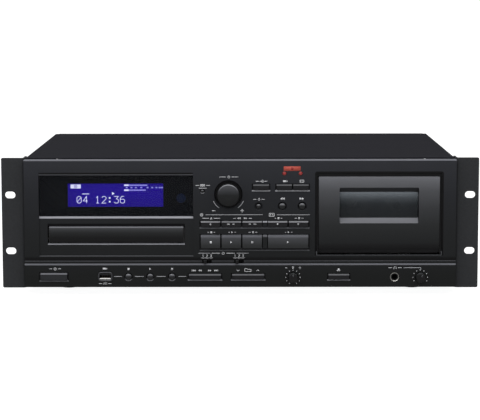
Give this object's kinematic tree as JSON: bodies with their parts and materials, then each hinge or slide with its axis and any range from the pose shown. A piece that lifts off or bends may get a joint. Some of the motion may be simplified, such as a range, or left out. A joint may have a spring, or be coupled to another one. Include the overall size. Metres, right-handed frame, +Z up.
{
  "type": "cd cassette deck",
  "caption": "Rack-mounted combination deck with a disc drawer, a tilting cassette door, a wide display window, transport keys, knobs and sockets in a black steel case.",
  "frame": {"origin": "under the middle of the deck, on the surface its feet stand on", "axes": "+X to the viewer's right, +Y from the front to the back, +Z up"},
  "size_m": [0.4826, 0.319, 0.138],
  "materials": {
    "cover_paint": "satin black powder coat",
    "zinc_steel": "galvanised sheet",
    "transport_steel": "black coated steel",
    "panel_plastic": "satin moulded charcoal",
    "key_plastic": "satin moulded dark grey",
    "knob_plastic": "satin moulded black",
    "smoked_window": "gloss smoked acrylic",
    "clear_pane": "gloss clear acrylic",
    "door_plastic": "satin moulded charcoal",
    "tray_plastic": "satin moulded black",
    "drive_plastic": "moulded black",
    "board_green": "printed circuit board",
    "board_brown": "paper laminate board",
    "display_glass": "lit display",
    "lamp_red": "red lens",
    "plated_metal": "bright nickel plating",
    "connector_plastic": "moulded black",
    "foot_rubber": "matt rubber",
    "screw_steel": "black zinc",
    "shaft_steel": "ground steel",
    "reel_plastic": "moulded black"
  },
  "bodies": {
    "chassis": {"chassis_pan": "zinc_steel", "rear_panel": "zinc_steel", "top_cover": "cover_paint", "front_panel": "panel_plastic", "rack_ear_left": "cover_paint", "rack_ear_right": "cover_paint", "feet": "foot_rubber", "case_screws": "screw_steel", "display_window": "smoked_window", "display_module": "display_glass", "key_board": "board_brown", "main_board": "board_green", "power_board": "board_brown", "loader_frame": "drive_plastic", "tape_deck_plate": "transport_steel", "line_jacks": "connector_plastic", "mains_inlet": "connector_plastic", "usb_socket": "plated_metal", "phones_jack": "plated_metal", "record_lamps": "lamp_red"},
    "tray": {"disc_tray": "tray_plastic", "tray_front": "tray_plastic"},
    "turntable": {"disc_turntable": "drive_plastic"},
    "sled": {"pickup_sled": "drive_plastic"},
    "door": {"cassette_door": "door_plastic", "door_window": "clear_pane", "cassette_holder": "transport_steel"},
    "reel_left": {"reel_spindle_left": "reel_plastic"},
    "reel_right": {"reel_spindle_right": "reel_plastic"},
    "capstan_left_unit": {"capstan_left": "shaft_steel"},
    "capstan_right_unit": {"capstan_right": "shaft_steel"},
    "heads": {"head_base": "shaft_steel"},
    "level_knob": {"record_level_knob": "knob_plastic"},
    "pitch_control": {"pitch_knob": "knob_plastic"},
    "phones_control": {"phones_knob": "knob_plastic"},
    "source_slider": {"start_source_switch": "knob_plastic"},
    "mode_slider": {"start_mode_switch": "knob_plastic"},
    "skip_bar": {"skip_rocker": "key_plastic"},
    "folder_bar": {"folder_rocker": "key_plastic"},
    "disc_open_key_cap": {"disc_open_key": "key_plastic"},
    "disc_skip_back_key_cap": {"disc_skip_back_key": "key_plastic"},
    "disc_skip_forward_key_cap": {"disc_skip_forward_key": "key_plastic"},
    "tape_stop_key_cap": {"tape_stop_key": "key_plastic"},
    "tape_pause_key_cap": {"tape_pause_key": "key_plastic"},
    "disc_stop_button_cap": {"disc_stop_button": "key_plastic"},
    "disc_play_button_cap": {"disc_play_button": "key_plastic"},
    "disc_pause_button_cap": {"disc_pause_button": "key_plastic"},
    "tape_play_button_cap": {"tape_play_button": "key_plastic"},
    "source_button_cap": {"source_button": "key_plastic"},
    "record_usb_button_cap": {"record_usb_button": "key_plastic"},
    "record_tape_button_cap": {"record_tape_button": "key_plastic"},
    "power_button_cap": {"power_button": "key_plastic"},
    "eject_button_cap": {"eject_button": "key_plastic"},
    "player_stop_button_cap": {"player_stop_button": "key_plastic"},
    "player_play_button_cap": {"player_play_button": "key_plastic"},
    "player_pause_button_cap": {"player_pause_button": "key_plastic"},
    "rewind_button_cap": {"rewind_button": "key_plastic"},
    "fast_forward_button_cap": {"fast_forward_button": "key_plastic"},
    "repeat_button_cap": {"repeat_button": "key_plastic"},
    "counter_reset_button_cap": {"counter_reset_button": "key_plastic"}
  },
  "joints": [
    {"name": "tray_slide", "type": "slide", "parent": "chassis", "child": "tray", "axis": [0, -1, 0], "range_m": [0, 0.133]},
    {"name": "turntable_spin", "type": "hinge", "parent": "chassis", "child": "turntable", "pos_m": [-0.1249, -0.0805, 0.05], "axis": [0, 0, 1], "continuous": true},
    {"name": "sled_slide", "type": "slide", "parent": "chassis", "child": "sled", "axis": [0, 1, 0], "range_m": [0, 0.035]},
    {"name": "door_hinge", "type": "hinge", "parent": "chassis", "child": "door", "pos_m": [0.1401, -0.1363, 0.0511], "axis": [1, 0, 0], "range_deg": [0, 26]},
    {"name": "reel_left_spin", "type": "hinge", "parent": "chassis", "child": "reel_left", "pos_m": [0.11885, -0.13, 0.0871], "axis": [0, 1, 0], "continuous": true},
    {"name": "reel_right_spin", "type": "hinge", "parent": "chassis", "child": "reel_right", "pos_m": [0.16135, -0.13, 0.0871], "axis": [0, 1, 0], "continuous": true},
    {"name": "capstan_left_spin", "type": "hinge", "parent": "chassis", "child": "capstan_left_unit", "pos_m": [0.1181, -0.13, 0.0593], "axis": [0, 1, 0], "continuous": true},
    {"name": "capstan_right_spin", "type": "hinge", "parent": "chassis", "child": "capstan_right_unit", "pos_m": [0.1621, -0.13, 0.0593], "axis": [0, 1, 0], "continuous": true},
    {"name": "head_slide", "type": "slide", "parent": "chassis", "child": "heads", "axis": [0, 0, 1], "range_m": [0, 0.006]},
    {"name": "level_turn", "type": "hinge", "parent": "chassis", "child": "level_knob", "pos_m": [-0.0117, -0.1485, 0.102], "axis": [0, 1, 0], "continuous": true},
    {"name": "pitch_turn", "type": "hinge", "parent": "chassis", "child": "pitch_control", "pos_m": [0.0534, -0.1511, 0.0179], "axis": [0, 1, 0], "range_deg": [-150, 150]},
    {"name": "phones_turn", "type": "hinge", "parent": "chassis", "child": "phones_control", "pos_m": [0.1818, -0.1511, 0.0179], "axis": [0, 1, 0], "range_deg": [-150, 90]},
    {"name": "source_slide", "type": "slide", "parent": "chassis", "child": "source_slider", "axis": [1, 0, 0], "range_m": [0, 0.004]},
    {"name": "mode_slide", "type": "slide", "parent": "chassis", "child": "mode_slider", "axis": [1, 0, 0], "range_m": [0, 0.004]},
    {"name": "skip_rock", "type": "hinge", "parent": "chassis", "child": "skip_bar", "pos_m": [-0.0355, -0.146, 0.0191], "axis": [0, 0, 1], "range_deg": [-2.5, 2.5], "stiffness_Nm_per_rad": 0.4},
    {"name": "folder_rock", "type": "hinge", "parent": "chassis", "child": "folder_bar", "pos_m": [0.0081, -0.146, 0.0191], "axis": [0, 0, 1], "range_deg": [-2.5, 2.5], "stiffness_Nm_per_rad": 0.4},
    {"name": "disc_open_key_press", "type": "slide", "parent": "chassis", "child": "disc_open_key_cap", "axis": [0, 1, 0], "range_m": [0, 0.001], "stiffness_N_per_m": 400},
    {"name": "disc_skip_back_key_press", "type": "slide", "parent": "chassis", "child": "disc_skip_back_key_cap", "axis": [0, 1, 0], "range_m": [0, 0.001], "stiffness_N_per_m": 400},
    {"name": "disc_skip_forward_key_press", "type": "slide", "parent": "chassis", "child": "disc_skip_forward_key_cap", "axis": [0, 1, 0], "range_m": [0, 0.001], "stiffness_N_per_m": 400},
    {"name": "tape_stop_key_press", "type": "slide", "parent": "chassis", "child": "tape_stop_key_cap", "axis": [0, 1, 0], "range_m": [0, 0.001], "stiffness_N_per_m": 400},
    {"name": "tape_pause_key_press", "type": "slide", "parent": "chassis", "child": "tape_pause_key_cap", "axis": [0, 1, 0], "range_m": [0, 0.001], "stiffness_N_per_m": 400},
    {"name": "disc_stop_button_press", "type": "slide", "parent": "chassis", "child": "disc_stop_button_cap", "axis": [0, 1, 0], "range_m": [0, 0.001], "stiffness_N_per_m": 400},
    {"name": "disc_play_button_press", "type": "slide", "parent": "chassis", "child": "disc_play_button_cap", "axis": [0, 1, 0], "range_m": [0, 0.001], "stiffness_N_per_m": 400},
    {"name": "disc_pause_button_press", "type": "slide", "parent": "chassis", "child": "disc_pause_button_cap", "axis": [0, 1, 0], "range_m": [0, 0.001], "stiffness_N_per_m": 400},
    {"name": "tape_play_button_press", "type": "slide", "parent": "chassis", "child": "tape_play_button_cap", "axis": [0, 1, 0], "range_m": [0, 0.001], "stiffness_N_per_m": 400},
    {"name": "source_button_press", "type": "slide", "parent": "chassis", "child": "source_button_cap", "axis": [0, 1, 0], "range_m": [0, 0.001], "stiffness_N_per_m": 400},
    {"name": "record_usb_button_press", "type": "slide", "parent": "chassis", "child": "record_usb_button_cap", "axis": [0, 1, 0], "range_m": [0, 0.001], "stiffness_N_per_m": 400},
    {"name": "record_tape_button_press", "type": "slide", "parent": "chassis", "child": "record_tape_button_cap", "axis": [0, 1, 0], "range_m": [0, 0.001], "stiffness_N_per_m": 400},
    {"name": "power_button_press", "type": "slide", "parent": "chassis", "child": "power_button_cap", "axis": [0, 1, 0], "range_m": [0, 0.001], "stiffness_N_per_m": 400},
    {"name": "eject_button_press", "type": "slide", "parent": "chassis", "child": "eject_button_cap", "axis": [0, 1, 0], "range_m": [0, 0.001], "stiffness_N_per_m": 400},
    {"name": "player_stop_button_press", "type": "slide", "parent": "chassis", "child": "player_stop_button_cap", "axis": [0, 1, 0], "range_m": [0, 0.001], "stiffness_N_per_m": 400},
    {"name": "player_play_button_press", "type": "slide", "parent": "chassis", "child": "player_play_button_cap", "axis": [0, 1, 0], "range_m": [0, 0.001], "stiffness_N_per_m": 400},
    {"name": "player_pause_button_press", "type": "slide", "parent": "chassis", "child": "player_pause_button_cap", "axis": [0, 1, 0], "range_m": [0, 0.001], "stiffness_N_per_m": 400},
    {"name": "rewind_button_press", "type": "slide", "parent": "chassis", "child": "rewind_button_cap", "axis": [0, 1, 0], "range_m": [0, 0.001], "stiffness_N_per_m": 400},
    {"name": "fast_forward_button_press", "type": "slide", "parent": "chassis", "child": "fast_forward_button_cap", "axis": [0, 1, 0], "range_m": [0, 0.001], "stiffness_N_per_m": 400},
    {"name": "repeat_button_press", "type": "slide", "parent": "chassis", "child": "repeat_button_cap", "axis": [0, 1, 0], "range_m": [0, 0.001], "stiffness_N_per_m": 400},
    {"name": "counter_reset_button_press", "type": "slide", "parent": "chassis", "child": "counter_reset_button_cap", "axis": [0, 1, 0], "range_m": [0, 0.001], "stiffness_N_per_m": 400}
  ],
  "couplings": [
    {"joint": "capstan_right_spin", "follows": "capstan_left_spin", "ratio": -1}
  ]
}
